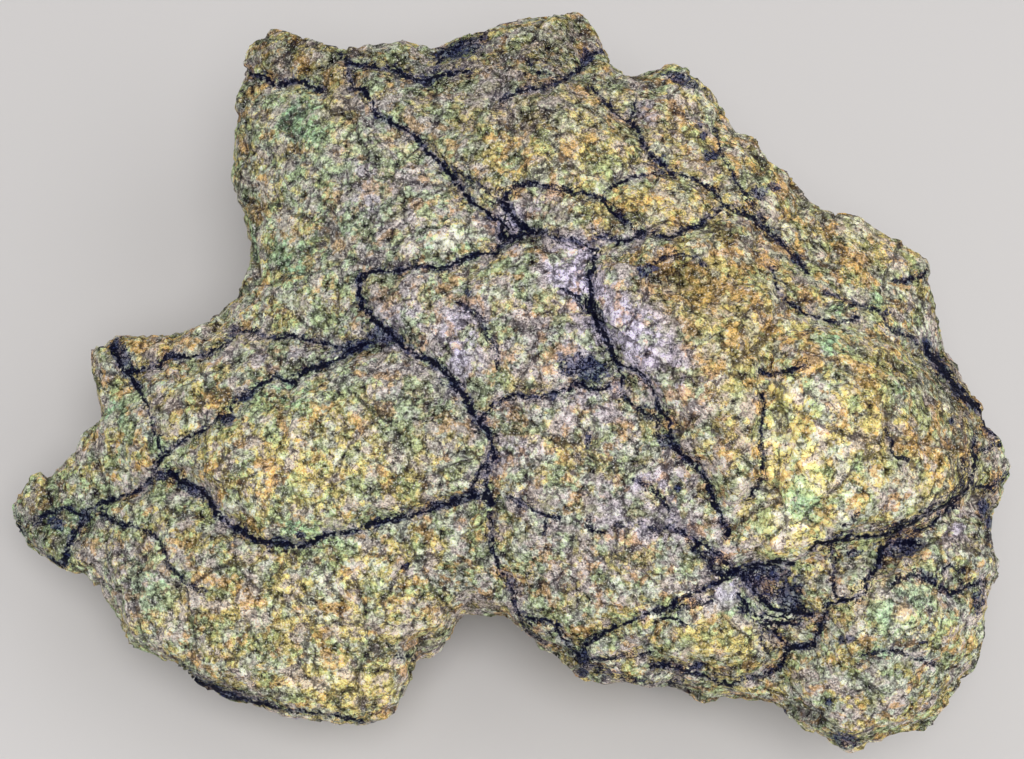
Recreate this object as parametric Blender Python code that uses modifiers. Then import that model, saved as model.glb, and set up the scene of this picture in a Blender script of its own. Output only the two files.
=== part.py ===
"""A hand-sized piece of stony meteorite, broken on every side and lying on a small flat.

The stone is shaped from the side that the photograph shows. A place on it is given as the pixel
(x, y) where it shows, counted from the picture's top left corner, and a height above the table.
seen_at() turns the two into a point in metres. Every upper form is a change of that height: a
broad relief, the swollen fields between the veins, ledges, pits and knobs. The hidden underside is
a set of broken planes, which start at the edge of what is seen.
"""

import math

import bmesh
import bpy
import numpy as np
from mathutils import Vector, noise
from mathutils.geometry import delaunay_2d_cdt

MM = 0.001

# Driving dimensions, in metres
STONE_LENGTH = 0.110  # left tip to right edge
STONE_HEIGHT = 0.047  # table to the top of the middle
RIM_DROP = 0.0032  # height of the broken wall between the upper face and the outline
REST_DEPTH = 0.0008  # how much is worn off flat under the stone

# Where the stone is seen from. Its ends stand nearer to the eye than the point aimed at, so they
# look wider apart: at the distance of that point they would be 990 pixels apart, not 1007
EYE_ELEVATION = math.radians(66)
EYE_DISTANCE = 0.266
AIM = Vector((0.0012, 0.0005, 0.022))
PICTURE_SIZE = (1024, 759)
LENGTH_IN_PIXELS = 990
PIXEL = STONE_LENGTH / LENGTH_IN_PIXELS

EYE_UP = Vector((0, math.sin(EYE_ELEVATION), math.cos(EYE_ELEVATION)))
EYE_BACK = Vector((0, -math.cos(EYE_ELEVATION), math.sin(EYE_ELEVATION)))
EYE = AIM + EYE_DISTANCE * EYE_BACK

# Fineness of the surface
LAYOUT_SPACING = 8  # pixels between the points that both faces are laid out on
LAYOUT_SHAKE = 1.2  # pixels by which those points stray
LEAST_SPACING = 3.6  # pixels
SHOULDER_INSET = 3  # pixels from the outline to the row of points just inside it
VOXEL = 0.0007
FACES_KEPT = 0.083  # share of the even faces that the finished stone keeps

COLOUR = (0.30, 0.28, 0.19, 1.0)
ROUGHNESS = 0.85

# The outline as seen, clockwise from the peak at the top left
OUTLINE = [
    (276, 29), (288, 32), (297, 38), (308, 35), (316, 43), (335, 41), (345, 49), (352, 45),
    (363, 48), (371, 42), (380, 40), (388, 44), (399, 39), (413, 42), (424, 49), (436, 48),
    (449, 42), (466, 36), (484, 33), (498, 29), (510, 24), (530, 19), (546, 12), (553, 6),
    (567, 5), (579, 11), (586, 19), (596, 32), (603, 46), (609, 61), (617, 73), (630, 80),
    (645, 77), (656, 74), (664, 69), (680, 67), (690, 74), (703, 86), (710, 99), (720, 108),
    (728, 118), (727, 127), (732, 136), (750, 135), (758, 144), (761, 155), (772, 172), (782, 174),
    (795, 184), (800, 197), (812, 204), (820, 213), (840, 215), (851, 207), (860, 214), (868, 226),
    (879, 228), (884, 240), (900, 238), (917, 242), (928, 253), (934, 264), (928, 273), (928, 288),
    (932, 300), (929, 318), (936, 330), (935, 347), (938, 360), (950, 362), (957, 376), (965, 384),
    (979, 391), (988, 403), (984, 412), (991, 418), (990, 428), (997, 432), (1004, 440), (1012, 450),
    (1015, 468), (1012, 476), (1006, 482), (1005, 496), (996, 509), (995, 524), (990, 535), (990, 547),
    (998, 559), (995, 573), (986, 586), (985, 602), (985, 632), (982, 645), (981, 662), (972, 671),
    (965, 676), (959, 689), (948, 702), (945, 716), (938, 725), (921, 731), (901, 736), (880, 738),
    (864, 748), (850, 754), (838, 749), (826, 740), (803, 729), (789, 717), (776, 709), (755, 703),
    (740, 700), (722, 694), (703, 697), (690, 692), (685, 684), (672, 685), (657, 690), (643, 688),
    (631, 683), (608, 680), (586, 681), (572, 672), (561, 661), (549, 655), (538, 650), (531, 639),
    (517, 631), (509, 619), (498, 616), (488, 618), (477, 609), (463, 610), (456, 620), (448, 632),
    (442, 643), (434, 651), (419, 653), (411, 666), (413, 682), (403, 695), (401, 708), (391, 719),
    (375, 726), (360, 730), (342, 727), (313, 723), (290, 720), (270, 714), (258, 706), (246, 700),
    (230, 697), (207, 689), (194, 681), (186, 670), (166, 664), (141, 656), (125, 646), (123, 630),
    (118, 608), (113, 596), (103, 579), (90, 571), (67, 571), (52, 565), (33, 553), (21, 546),
    (12, 528), (8, 510), (15, 499), (31, 486), (38, 476), (57, 469), (64, 457), (76, 450),
    (80, 432), (92, 427), (98, 413), (97, 398), (92, 385), (92, 355), (99, 343), (112, 331),
    (125, 337), (145, 338), (165, 337), (183, 332), (197, 328), (210, 327), (221, 320), (223, 311),
    (236, 297), (248, 287), (250, 275), (249, 245), (247, 222), (241, 206), (235, 182), (233, 165),
    (238, 147), (236, 130), (238, 120), (235, 108), (233, 86), (241, 74), (242, 62), (250, 50),
    (262, 38),
]

# The broad relief: pixel, and height as a share of STONE_HEIGHT
RELIEF = [
    (12, 515, 0.34), (60, 500, 0.40), (100, 350, 0.50), (150, 345, 0.55), (220, 335, 0.62),
    (150, 420, 0.60), (165, 465, 0.59), (110, 560, 0.46), (120, 630, 0.43), (200, 575, 0.56),
    (250, 620, 0.53), (200, 675, 0.44), (330, 715, 0.40), (370, 660, 0.48), (400, 600, 0.58),
    (330, 450, 0.75), (230, 450, 0.68), (430, 470, 0.75), (300, 540, 0.64), (470, 560, 0.62),
    (470, 612, 0.53), (250, 250, 0.62), (260, 60, 0.70), (240, 150, 0.64), (310, 150, 0.77),
    (330, 250, 0.76), (345, 330, 0.76), (345, 90, 0.83), (400, 55, 0.82), (430, 48, 0.79),
    (560, 15, 0.79), (595, 45, 0.79), (500, 60, 0.86), (545, 115, 0.93), (450, 160, 0.87),
    (600, 150, 0.94), (500, 225, 0.88), (660, 200, 0.95), (680, 80, 0.83), (720, 140, 0.85),
    (745, 190, 0.89), (790, 200, 0.82), (850, 222, 0.76), (800, 270, 0.89), (870, 300, 0.83),
    (925, 255, 0.70), (930, 325, 0.70), (945, 375, 0.72), (450, 320, 0.86), (540, 300, 0.92),
    (490, 400, 0.84), (650, 300, 0.96), (700, 350, 0.97), (740, 430, 0.93), (690, 460, 0.87),
    (860, 420, 0.92), (910, 380, 0.85), (820, 500, 0.86), (950, 450, 0.78), (985, 420, 0.69),
    (1008, 462, 0.60), (560, 440, 0.83), (600, 500, 0.77), (560, 580, 0.65), (520, 622, 0.55),
    (650, 560, 0.71), (500, 540, 0.69), (590, 650, 0.55), (710, 530, 0.79), (770, 590, 0.71),
    (670, 640, 0.61), (740, 640, 0.62), (700, 690, 0.49), (900, 600, 0.72), (960, 600, 0.65),
    (860, 680, 0.58), (850, 745, 0.43), (920, 715, 0.49), (800, 715, 0.47), (785, 650, 0.60),
    (980, 540, 0.66), (980, 640, 0.56),
]

# Fields between the veins, each a closed loop of pixels and the millimetres that it swells by
FIELDS = {
    "left_lens": (1.3, [
        (165, 470), (165, 454), (186, 438), (218, 417), (259, 385), (305, 370), (335, 361),
        (395, 341), (420, 357), (450, 378), (466, 397), (484, 424), (494, 448), (470, 494),
        (420, 516), (347, 533), (287, 543), (250, 532), (218, 514), (200, 488),
    ]),
    "centre_lens": (1.0, [
        (358, 283), (376, 270), (417, 266), (441, 268), (496, 250), (524, 235), (565, 240),
        (595, 252), (590, 300), (605, 336), (620, 376), (600, 389), (571, 388), (540, 397),
        (515, 393), (484, 424), (450, 377), (422, 357), (391, 333), (365, 309),
    ]),
    "upper_lens": (0.8, [
        (373, 114), (404, 127), (445, 167), (465, 194), (502, 222), (510, 195), (540, 186),
        (591, 194), (611, 187), (655, 160), (640, 135), (618, 116), (591, 90), (560, 80),
        (522, 90), (450, 92), (395, 95),
    ]),
    "small_lens": (0.8, [
        (611, 187), (654, 173), (685, 175), (713, 190), (724, 204), (716, 213), (684, 231),
        (655, 236), (636, 224), (615, 212),
    ]),
    "step_block": (1.8, [
        (655, 236), (716, 214), (754, 218), (790, 250), (800, 275), (786, 320), (760, 352),
        (764, 420), (764, 480), (750, 500), (727, 520), (690, 462), (668, 432), (652, 400),
        (623, 370), (600, 325), (592, 275), (600, 245),
    ]),
    "right_dome": (2.4, [
        (766, 362), (800, 330), (850, 322), (900, 338), (940, 368), (965, 396), (982, 425),
        (976, 480), (958, 503), (910, 524), (855, 538), (815, 550), (760, 560), (732, 530),
        (762, 490), (768, 430),
    ]),
    "lower_right": (1.6, [
        (836, 570), (880, 560), (915, 575), (945, 592), (972, 600), (982, 640), (965, 672),
        (942, 712), (900, 732), (850, 745), (800, 722), (785, 690), (790, 655), (815, 645),
        (830, 610),
    ]),
    "lower_lens": (0.9, [
        (588, 643), (620, 626), (667, 608), (707, 588), (747, 573), (765, 600), (785, 625),
        (785, 655), (764, 674), (733, 684), (703, 676), (668, 664), (640, 652), (605, 657),
    ]),
    "lower_left": (1.1, [
        (150, 490), (200, 494), (218, 516), (250, 535), (287, 546), (347, 536), (420, 519),
        (470, 498), (486, 500), (490, 560), (498, 606), (458, 606), (430, 642), (400, 692),
        (360, 720), (280, 710), (200, 678), (132, 640), (120, 600), (104, 545),
    ]),
    "lower_centre": (0.6, [
        (497, 430), (560, 398), (610, 394), (652, 420), (680, 460), (725, 525), (740, 562),
        (690, 595), (600, 636), (575, 655), (522, 615), (494, 550), (490, 480),
    ]),
    "left_tip": (0.6, [
        (15, 515), (60, 476), (88, 436), (148, 400), (158, 450), (150, 480), (104, 502),
        (84, 512), (80, 560), (50, 556),
    ]),
    "left_shoulder": (0.6, [
        (118, 345), (200, 335), (234, 325), (300, 340), (334, 350), (259, 383), (207, 426),
        (165, 452), (150, 405), (130, 362),
    ]),
    "upper_left": (0.6, [
        (250, 92), (300, 88), (345, 95), (373, 118), (440, 168), (498, 226), (440, 264),
        (372, 270), (352, 292), (360, 325), (300, 332), (236, 322), (256, 285), (244, 180),
    ]),
    "top_band": (0.6, [
        (345, 58), (400, 48), (445, 50), (500, 38), (560, 14), (598, 46), (560, 80),
        (500, 98), (440, 84), (395, 70),
    ]),
    "top_peak": (0.7, [
        (250, 66), (276, 36), (335, 48), (347, 66), (350, 85), (306, 82), (262, 72),
    ]),
    "upper_right": (0.8, [
        (640, 90), (690, 76), (722, 130), (770, 178), (845, 220), (920, 250), (926, 318),
        (886, 310), (804, 272), (775, 236), (724, 204), (671, 168), (645, 132),
    ]),
    "right_strip": (0.6, [
        (804, 276), (860, 306), (888, 322), (925, 350), (900, 336), (850, 320), (800, 326),
    ]),
}
FIELD_SHOULDER = 14  # pixels over which a field's edge rounds off

# Ledges: the millimetres that the right-hand side of a line drops, the pixels over which it recovers,
# and the line, walked from its first pixel to its last
LEDGES = {
    "diagonal_vein": (1.4, 70, [
        (349, 88), (376, 116), (404, 127), (424, 147), (445, 167), (465, 192), (484, 208), (502, 226),
    ]),
    "block_side": (2.4, 60, [
        (748, 505), (764, 480), (761, 455), (764, 425), (762, 394), (758, 368),
    ]),
    "dome_overhang": (3.2, 55, [
        (775, 562), (815, 551), (855, 540), (896, 531), (917, 518), (938, 508), (975, 492),
    ]),
    "lower_lens_foot": (2.6, 40, [
        (588, 662), (640, 656), (668, 664), (690, 673), (715, 682), (743, 678), (777, 669), (786, 655),
    ]),
    "left_lens_foot": (1.2, 45, [
        (200, 488), (218, 515), (250, 534), (287, 546), (314, 543), (370, 529), (420, 520), (470, 498),
    ]),
    "tangle_scarp": (1.8, 40, [
        (770, 630), (787, 648), (816, 642), (827, 606), (848, 602), (866, 582), (882, 552),
    ]),
    "tip_scarp": (1.0, 40, [
        (150, 482), (125, 496), (100, 504), (82, 514), (80, 540),
    ]),
    "top_edge_scarp": (1.0, 36, [
        (345, 86), (306, 84), (275, 88), (250, 76),
    ]),
    "centre_step": (1.0, 45, [
        (490, 520), (491, 497), (486, 480), (494, 450), (490, 430),
    ]),
    "fissure_step": (1.2, 45, [
        (588, 275), (596, 323), (618, 366), (652, 400), (664, 448), (705, 478), (727, 525),
    ]),
    "lower_right_seam": (0.9, 36, [
        (836, 668), (866, 655), (890, 650), (912, 657), (933, 665), (960, 662), (978, 655),
    ]),
    "right_edge_step": (1.0, 36, [
        (925, 350), (940, 370), (952, 388), (965, 402), (982, 412), (987, 430),
    ]),
}

# Pits and knobs: centre, half width and half height in pixels, turn in degrees, millimetres of rise
SPOTS = {
    "brown_pit": (686, 280, 34, 20, 10, -2.6),
    "pit_brow": (680, 250, 46, 12, 8, 0.9),
    "dark_recess": (900, 548, 40, 12, -14, -2.2),
    "block_toe": (745, 470, 18, 26, 20, 1.0),
    "dome_crown": (868, 400, 60, 34, 15, 1.0),
    "dome_hollow": (800, 420, 26, 50, 0, -0.8),
    "lens_blob": (372, 342, 26, 12, 0, -1.2),
    "corner_knob": (276, 48, 28, 16, -20, 1.0),
    "top_knob": (562, 22, 26, 16, 10, 1.2),
    "right_peak": (683, 84, 20, 18, 30, 1.2),
    "edge_lump_a": (758, 150, 18, 14, 30, 0.9),
    "edge_lump_b": (852, 218, 20, 12, 10, 0.9),
    "edge_lump_c": (912, 258, 22, 18, 20, 1.0),
    "edge_lump_d": (1000, 462, 20, 20, 0, 1.0),
    "edge_lump_e": (962, 560, 26, 22, 0, 1.0),
    "vein_pool": (780, 606, 28, 18, 30, -1.2),
    "notch_cheek": (440, 600, 26, 18, -30, 0.8),
    "toe_lump": (850, 728, 34, 16, -10, 0.9),
    "lower_right_crown": (905, 612, 46, 24, 10, 1.2),
    "lower_right_belly": (880, 692, 44, 22, 0, 0.8),
    "seam_hollow": (965, 575, 22, 12, 30, -1.0),
    "left_corner": (112, 352, 18, 20, 0, 1.0),
    "upper_hollow": (525, 122, 26, 12, -10, -0.9),
}

# Broken walls below the outline: the way each faces (0 is +X, 90 is away from the eye), how far it
# leans under from upright, both in degrees, and the millimetres that it bites in past the outline
WALLS = [
    (84, 6, 0.5), (58, 10, 1.0), (30, 12, 0.5), (2, 16, 0.5), (-30, 26, 0.5), (-62, 32, 0.5),
    (-98, 34, 0.5), (-132, 34, 0.5), (-165, 30, 0.5), (165, 24, 0.5), (140, 16, 1.5), (112, 10, 1.0),
]

# Broken heels round the resting place: facing and lean as above, and the millimetres from the
# origin at which each meets the table
HEELS = [
    (90, 50, 30), (48, 46, 38), (4, 52, 38), (-44, 60, 30), (-90, 62, 20), (-136, 64, 28),
    (178, 62, 32), (134, 52, 34), (70, 79, 17), (162, 79, 17), (-108, 78, 14), (-18, 79, 25),
]

UPPER_ROUND = 9  # pixels over which the upper face rounds into the wall at the outline
UNDER_ROUND = 34  # pixels over which that wall turns into the underside
LEAST_THICKNESS = 0.0015
CHIP_SIZE = 0.014  # breadth of the bumps and hollows of the broken walls
CHIP_DEPTH = 0.004
LUMP_SIZE = 0.005  # breadth of the lumps all over the stone
LUMP_HEIGHT = 0.0014


def clear_scene():
    for obj in list(bpy.data.objects):
        bpy.data.objects.remove(obj)


def new_collection(name):
    collection = bpy.data.collections.new(name)
    bpy.context.scene.collection.children.link(collection)
    return collection


def sight_lines(pixels):
    """The direction from the eye through each pixel, not of unit length."""
    right = (pixels[:, 0] - PICTURE_SIZE[0] / 2) * PIXEL
    up = (PICTURE_SIZE[1] / 2 - pixels[:, 1]) * PIXEL
    across = np.outer(right, (1, 0, 0)) + np.outer(up, EYE_UP)
    return across - EYE_DISTANCE * np.array(EYE_BACK)


def seen_at(pixels, heights):
    """The points at these heights above the table that show at these pixels."""
    lines = sight_lines(pixels)
    share = (heights - EYE.z) / lines[:, 2]
    return np.array(EYE) + lines * share[:, None]


def corner_pairs(loop, closed):
    loop = np.array(loop, float)
    if closed:
        return loop, np.roll(loop, -1, axis=0)
    return loop[:-1], loop[1:]


def nearest_on(pixels, loop, closed):
    """Each pixel's distance to the line, its side (+1 is right of the way the line runs), and that way."""
    starts, ends = corner_pairs(loop, closed)
    along = ends - starts
    offset = pixels[:, None, :] - starts[None]
    share = (offset * along).sum(2) / (along * along).sum(1)
    gap = offset - np.clip(share, 0, 1)[:, :, None] * along
    distance = np.hypot(gap[:, :, 0], gap[:, :, 1])
    index = distance.argmin(1)
    rows = np.arange(len(pixels))
    run, off = along[index], offset[rows, index]
    side = np.sign(run[:, 0] * off[:, 1] - run[:, 1] * off[:, 0])
    return distance[rows, index], side, run


def inside(pixels, loop):
    """Which pixels lie in the closed loop, by counting the sides that a line to the right crosses."""
    starts, ends = corner_pairs(loop, True)
    x, y = pixels[:, 0, None], pixels[:, 1, None]
    spans = (starts[:, 1] > y) != (ends[:, 1] > y)
    rise = np.where(ends[:, 1] == starts[:, 1], 1, ends[:, 1] - starts[:, 1])
    crossing = starts[:, 0] + (y - starts[:, 1]) * (ends[:, 0] - starts[:, 0]) / rise
    return (spans & (x < crossing)).sum(1) % 2 == 1


def thin_plate(distance):
    return distance**2 * np.log(np.maximum(distance, 1e-9))


def broad_relief(pixels):
    """A smooth sheet through the RELIEF heights, in metres."""
    table = np.array(RELIEF)
    known = table[:, :2] / LENGTH_IN_PIXELS
    asked = pixels / LENGTH_IN_PIXELS
    count = len(known)
    plane = np.c_[np.ones(count), known]
    between = np.linalg.norm(known[:, None] - known[None], axis=2)
    system = np.zeros((count + 3, count + 3))
    system[:count, :count] = thin_plate(between)
    system[:count, count:] = plane
    system[count:, :count] = plane.T
    weights = np.linalg.solve(system, np.r_[table[:, 2] * STONE_HEIGHT, 0, 0, 0])
    reach = np.linalg.norm(asked[:, None] - known[None], axis=2)
    return thin_plate(reach) @ weights[:count] + np.c_[np.ones(len(asked)), asked] @ weights[count:]


def field_swell(pixels):
    total = np.zeros(len(pixels))
    for swell, loop in FIELDS.values():
        distance, _, _ = nearest_on(pixels, loop, True)
        rise = swell * MM * (1 - np.exp(-distance / FIELD_SHOULDER))
        total += np.where(inside(pixels, loop), rise, 0)
    return total


def ledge_drop(pixels):
    total = np.zeros(len(pixels))
    for drop, recovery, line in LEDGES.values():
        distance, side, _ = nearest_on(pixels, line, False)
        left = np.clip(1 - distance / recovery, 0, 1)
        total -= np.where(side > 0, drop * MM * left**2, 0)
    return total


def spot_rise(pixels):
    total = np.zeros(len(pixels))
    for x, y, half_width, half_height, turn, rise in SPOTS.values():
        angle = math.radians(turn)
        right, down = pixels[:, 0] - x, pixels[:, 1] - y
        along = (right * math.cos(angle) + down * math.sin(angle)) / half_width
        across = (down * math.cos(angle) - right * math.sin(angle)) / half_height
        total += rise * MM * np.exp(-(along**2 + across**2))
    return total


def upper_height(pixels):
    """Height of the upper face above the table, in metres, before its edge rounds off."""
    return broad_relief(pixels) + field_swell(pixels) + ledge_drop(pixels) + spot_rise(pixels)


def rounded(distance, over):
    """0 at the outline, 1 past the rounding, a quarter circle between."""
    share = np.clip(distance / over, 0, 1)
    return np.sqrt(1 - (1 - share) ** 2)


def under_planes(rim_points):
    """Each underside plane's outward normal and its distance from the origin, in metres."""
    for facing, lean, bite in WALLS:
        normal = plane_normal(facing, lean)
        yield normal, (rim_points @ normal).max() - bite * MM
    for facing, lean, foot in HEELS:
        yield plane_normal(facing, lean), foot * MM * math.cos(math.radians(lean))


def plane_normal(facing, lean):
    facing, lean = math.radians(facing), math.radians(lean)
    return np.array((
        math.cos(facing) * math.cos(lean),
        math.sin(facing) * math.cos(lean),
        -math.sin(lean),
    ))


def plane_exits(pixels, rim_points):
    """The height at which each sight line leaves through the nearest of the underside's planes."""
    lines = sight_lines(pixels)
    exits = np.full(len(pixels), -REST_DEPTH)
    for normal, reach in under_planes(rim_points):
        along = lines @ normal
        leaves = along > 1e-6
        share = (reach - np.array(EYE) @ normal) / np.where(leaves, along, 1)
        exits = np.where(leaves, np.maximum(exits, EYE.z + share * lines[:, 2]), exits)
    return exits


def chipped(points, depth):
    """The points moved by broad bumps, as far as depth, an array in metres."""
    bumps = np.array([noise.fractal(Vector(point) / CHIP_SIZE, 1.0, 2.0, 3) for point in points])
    outward = points - np.array(AIM)
    outward /= np.linalg.norm(outward, axis=1)[:, None]
    return points + outward * (bumps * depth)[:, None]


def outline_points():
    """Points along the outline, no further apart than the layout's spacing asks for."""
    points = []
    for start, end in zip(*corner_pairs(OUTLINE, True)):
        pieces = max(1, round(np.linalg.norm(end - start) / LAYOUT_SPACING))
        points += [start + (end - start) * k / pieces for k in range(pieces)]
    return np.array(points)


def shoulder_points(rim):
    """A row just inside the outline, which holds the edge's rounding."""
    starts, ends = corner_pairs(rim, True)
    run = (ends - starts) / np.linalg.norm(ends - starts, axis=1)[:, None]
    return (starts + ends) / 2 + SHOULDER_INSET * np.c_[-run[:, 1], run[:, 0]]


def spread_points():
    """Rows of points over the whole picture, each row shifted by half a step and all a little shaken."""
    width, height = PICTURE_SIZE
    rows = np.arange(0, height, LAYOUT_SPACING * math.sqrt(3) / 2)
    points = [
        (x + (index % 2) * LAYOUT_SPACING / 2, y)
        for index, y in enumerate(rows)
        for x in np.arange(0, width, LAYOUT_SPACING)
    ]
    shake = np.random.default_rng(7).uniform(-LAYOUT_SHAKE, LAYOUT_SHAKE, (len(points), 2))
    return np.array(points) + shake


def thinned(points, least):
    """The points that keep at least this far from those kept before them."""
    kept, cells = [], {}
    for point in points:
        column, row = int(point[0] // least), int(point[1] // least)
        near = [cells.get((column + i, row + j)) for i in (-1, 0, 1) for j in (-1, 0, 1)]
        if all(other is None or np.linalg.norm(other - point) >= least for other in near):
            cells[(column, row)] = point
            kept.append(point)
    return np.array(kept)


def layout():
    """Pixels spread over the outline, and the triangles between them."""
    rim = outline_points()
    inner = np.concatenate([shoulder_points(rim), spread_points()])
    distance, _, _ = nearest_on(inner, rim, True)
    clear = inside(inner, rim) & (distance > SHOULDER_INSET * 0.7)
    inner = thinned(inner[clear], LEAST_SPACING)
    pixels = [Vector(pixel) for pixel in np.concatenate([rim, inner])]
    edges = [(k, (k + 1) % len(rim)) for k in range(len(rim))]
    placed, _, faces, _, _, _ = delaunay_2d_cdt(pixels, edges, [], 1, 1e-4)
    return np.array([tuple(pixel) for pixel in placed]), faces


def face_points():
    """The upper and the under face's points over one layout, which they share along the outline."""
    pixels, faces = layout()
    distance, _, run = nearest_on(pixels, OUTLINE, True)
    on_rim = distance < 1e-3
    # The outline runs clockwise as seen, so it runs to the left along the edge nearest the eye
    near_edge = np.clip(-run[:, 0] / np.linalg.norm(run, axis=1), 0, 1)
    drop = RIM_DROP * (0.5 + near_edge)
    upper = upper_height(pixels)
    rim = upper - drop
    top = upper - drop * (1 - rounded(distance, UPPER_ROUND * (1 + near_edge)))
    exits = plane_exits(pixels, seen_at(pixels[on_rim], rim[on_rim]))
    exits = np.minimum(exits, rim - LEAST_THICKNESS)
    under = rim - (rim - exits) * rounded(distance, UNDER_ROUND)
    chip = CHIP_DEPTH * rounded(distance, UNDER_ROUND) * np.clip(under / CHIP_DEPTH, 0, 1)
    return seen_at(pixels, top), chipped(seen_at(pixels, under), chip), on_rim, faces


def stone_mesh():
    """The stone as one closed surface, before its faces are evened out."""
    top, under, on_rim, faces = face_points()
    bm = bmesh.new()
    top_verts = [bm.verts.new(point) for point in top]
    under_verts = [
        top_verts[index] if on_rim[index] else bm.verts.new(point)
        for index, point in enumerate(under)
    ]
    for face in faces:
        # A face with all its corners on the outline would be its own underside
        if all(on_rim[index] for index in face):
            continue
        bm.faces.new([top_verts[index] for index in face])
        bm.faces.new([under_verts[index] for index in reversed(face)])
    bmesh.ops.delete(bm, geom=[vert for vert in bm.verts if not vert.link_faces], context="VERTS")
    bmesh.ops.recalc_face_normals(bm, faces=bm.faces)
    mesh = bpy.data.meshes.new("meteorite_stone")
    bm.to_mesh(mesh)
    bm.free()
    return mesh


def roughen(obj):
    """Adds lumps all over the object."""
    texture = bpy.data.textures.new("broken_lumps", "CLOUDS")
    texture.noise_scale = LUMP_SIZE
    texture.noise_depth = 2
    displace = obj.modifiers.new("broken_lumps", "DISPLACE")
    displace.texture = texture
    displace.texture_coords = "LOCAL"
    displace.strength = LUMP_HEIGHT


def table_cutter(collection):
    """A block that fills everything below the table."""
    bm = bmesh.new()
    bmesh.ops.create_cube(bm, size=2 * STONE_LENGTH)
    bmesh.ops.translate(bm, verts=bm.verts, vec=(0, 0, -STONE_LENGTH))
    mesh = bpy.data.meshes.new("table_cutter")
    bm.to_mesh(mesh)
    bm.free()
    cutter = bpy.data.objects.new("table_cutter", mesh)
    cutter.hide_render = True
    cutter.display_type = "WIRE"
    collection.objects.link(cutter)
    return cutter


def stone_material():
    material = bpy.data.materials.new("meteorite_stone")
    material.use_nodes = True
    shader = material.node_tree.nodes["Principled BSDF"]
    shader.inputs["Base Color"].default_value = COLOUR
    shader.inputs["Roughness"].default_value = ROUGHNESS
    shader.inputs["Metallic"].default_value = 0.0
    return material


def make_stone(collection, cutters):
    stone = bpy.data.objects.new("meteorite_stone", stone_mesh())
    stone.data.materials.append(stone_material())
    collection.objects.link(stone)
    even = stone.modifiers.new("even_faces", "REMESH")
    even.mode = "VOXEL"
    even.voxel_size = VOXEL
    roughen(stone)
    fewer = stone.modifiers.new("fewer_faces", "DECIMATE")
    fewer.ratio = FACES_KEPT
    worn = stone.modifiers.new("worn_flat", "BOOLEAN")
    worn.operation = "DIFFERENCE"
    worn.object = table_cutter(cutters)


def main():
    clear_scene()
    make_stone(new_collection("meteorite"), new_collection("meteorite_cutters"))


main()
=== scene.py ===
"""The looks of the meteorite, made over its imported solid.

The stone's surface is a fine copy of the solid, roughened all over and cut by the net of dark
veins. What the picture shows is placed as in the part's source: a pixel (x, y), counted from the
picture's top left corner, is where the line of sight from the same eye meets the stone. The sides
that the picture doesn't show get veins, tints and grains of the same kinds from noise.
"""

import math
from types import SimpleNamespace

import bpy
import numpy as np
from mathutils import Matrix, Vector


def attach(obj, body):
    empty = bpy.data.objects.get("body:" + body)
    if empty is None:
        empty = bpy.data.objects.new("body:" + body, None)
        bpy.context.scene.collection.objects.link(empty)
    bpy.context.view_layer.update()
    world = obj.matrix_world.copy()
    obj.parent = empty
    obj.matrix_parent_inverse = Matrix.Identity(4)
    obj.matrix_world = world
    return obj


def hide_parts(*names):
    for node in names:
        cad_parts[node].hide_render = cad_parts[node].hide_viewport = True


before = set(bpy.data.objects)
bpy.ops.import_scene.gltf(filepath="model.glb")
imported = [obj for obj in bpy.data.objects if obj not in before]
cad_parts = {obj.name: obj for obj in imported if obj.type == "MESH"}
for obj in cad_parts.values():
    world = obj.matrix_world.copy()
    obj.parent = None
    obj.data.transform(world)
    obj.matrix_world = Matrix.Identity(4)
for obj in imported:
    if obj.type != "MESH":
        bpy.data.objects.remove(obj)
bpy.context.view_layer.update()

MM = 0.001
STONE_LENGTH = 0.110

# The eye, as in the part's source: 990 pixels are the stone's length at the point aimed at
EYE_ELEVATION = math.radians(66)
EYE_DISTANCE = 0.266
AIM = Vector((0.0012, 0.0005, 0.022))
PICTURE_SIZE = (1024, 759)
LENGTH_IN_PIXELS = 990
PIXEL = STONE_LENGTH / LENGTH_IN_PIXELS
EYE_UP = Vector((0, math.sin(EYE_ELEVATION), math.cos(EYE_ELEVATION)))
EYE_BACK = Vector((0, -math.cos(EYE_ELEVATION), math.sin(EYE_ELEVATION)))
EYE = AIM + EYE_DISTANCE * EYE_BACK

# Fineness of the surface
JOIN_WITHIN = 0.001  # the solid's corners this near each other become one
VOXEL = 0.0003
MOST_FACES = 190_000  # triangles that the surface keeps
SEEN_HOLDS = 1e-3  # how firmly the side that faces the eye keeps its faces, beside the others
HOLD_STEPS = 10  # steps between the side that faces the eye and the sides turned away
SEEN_FROM = (-0.05, 0.2)  # the cosine towards the eye from which a face is seen a little, and fully

# Layers of crystals and lumps in the broken surface, in millimetres: breadth of one, how far their
# faces tilt up and down, how far they stand above one another, and depth of the creases between them
CRYSTALS = {
    "blocks": (7.5, 0.34, 0.16, 0.16),
    "lumps": (3.0, 0.17, 0.1, 0.14),
    "crystals": (1.1, 0.1, 0.07, 0.08),
}
CREASE_SPREAD = 0.12  # half breadth of a crease, in breadths of a crystal
LAYER_SEEDS = 11  # between one layer's seed and the next one's
TILT_SEED = 7  # between a layer's seed and that of its tilts and heights

# Low swells under the crystals: breadth and height in millimetres, and seed
SWELLS = (4.0, 0.22, 5)

# What makes the crystals' edges ragged: each wave's breadth and height in millimetres
SHAKES = ((1.2, 0.3), (4.5, 0.9))

# The relief of a vein, in millimetres: a groove's least depth, what each pixel of the vein's half
# width adds to it, and what each such pixel adds to the wide trough that the groove lies in
GROOVE_LEAST = 0.06
GROOVE_MORE = 0.04
TROUGH_MORE = 0.07
TROUGH_HALF_WIDTH = 14  # pixels
POOL_HOLLOW = 0.15

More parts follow.
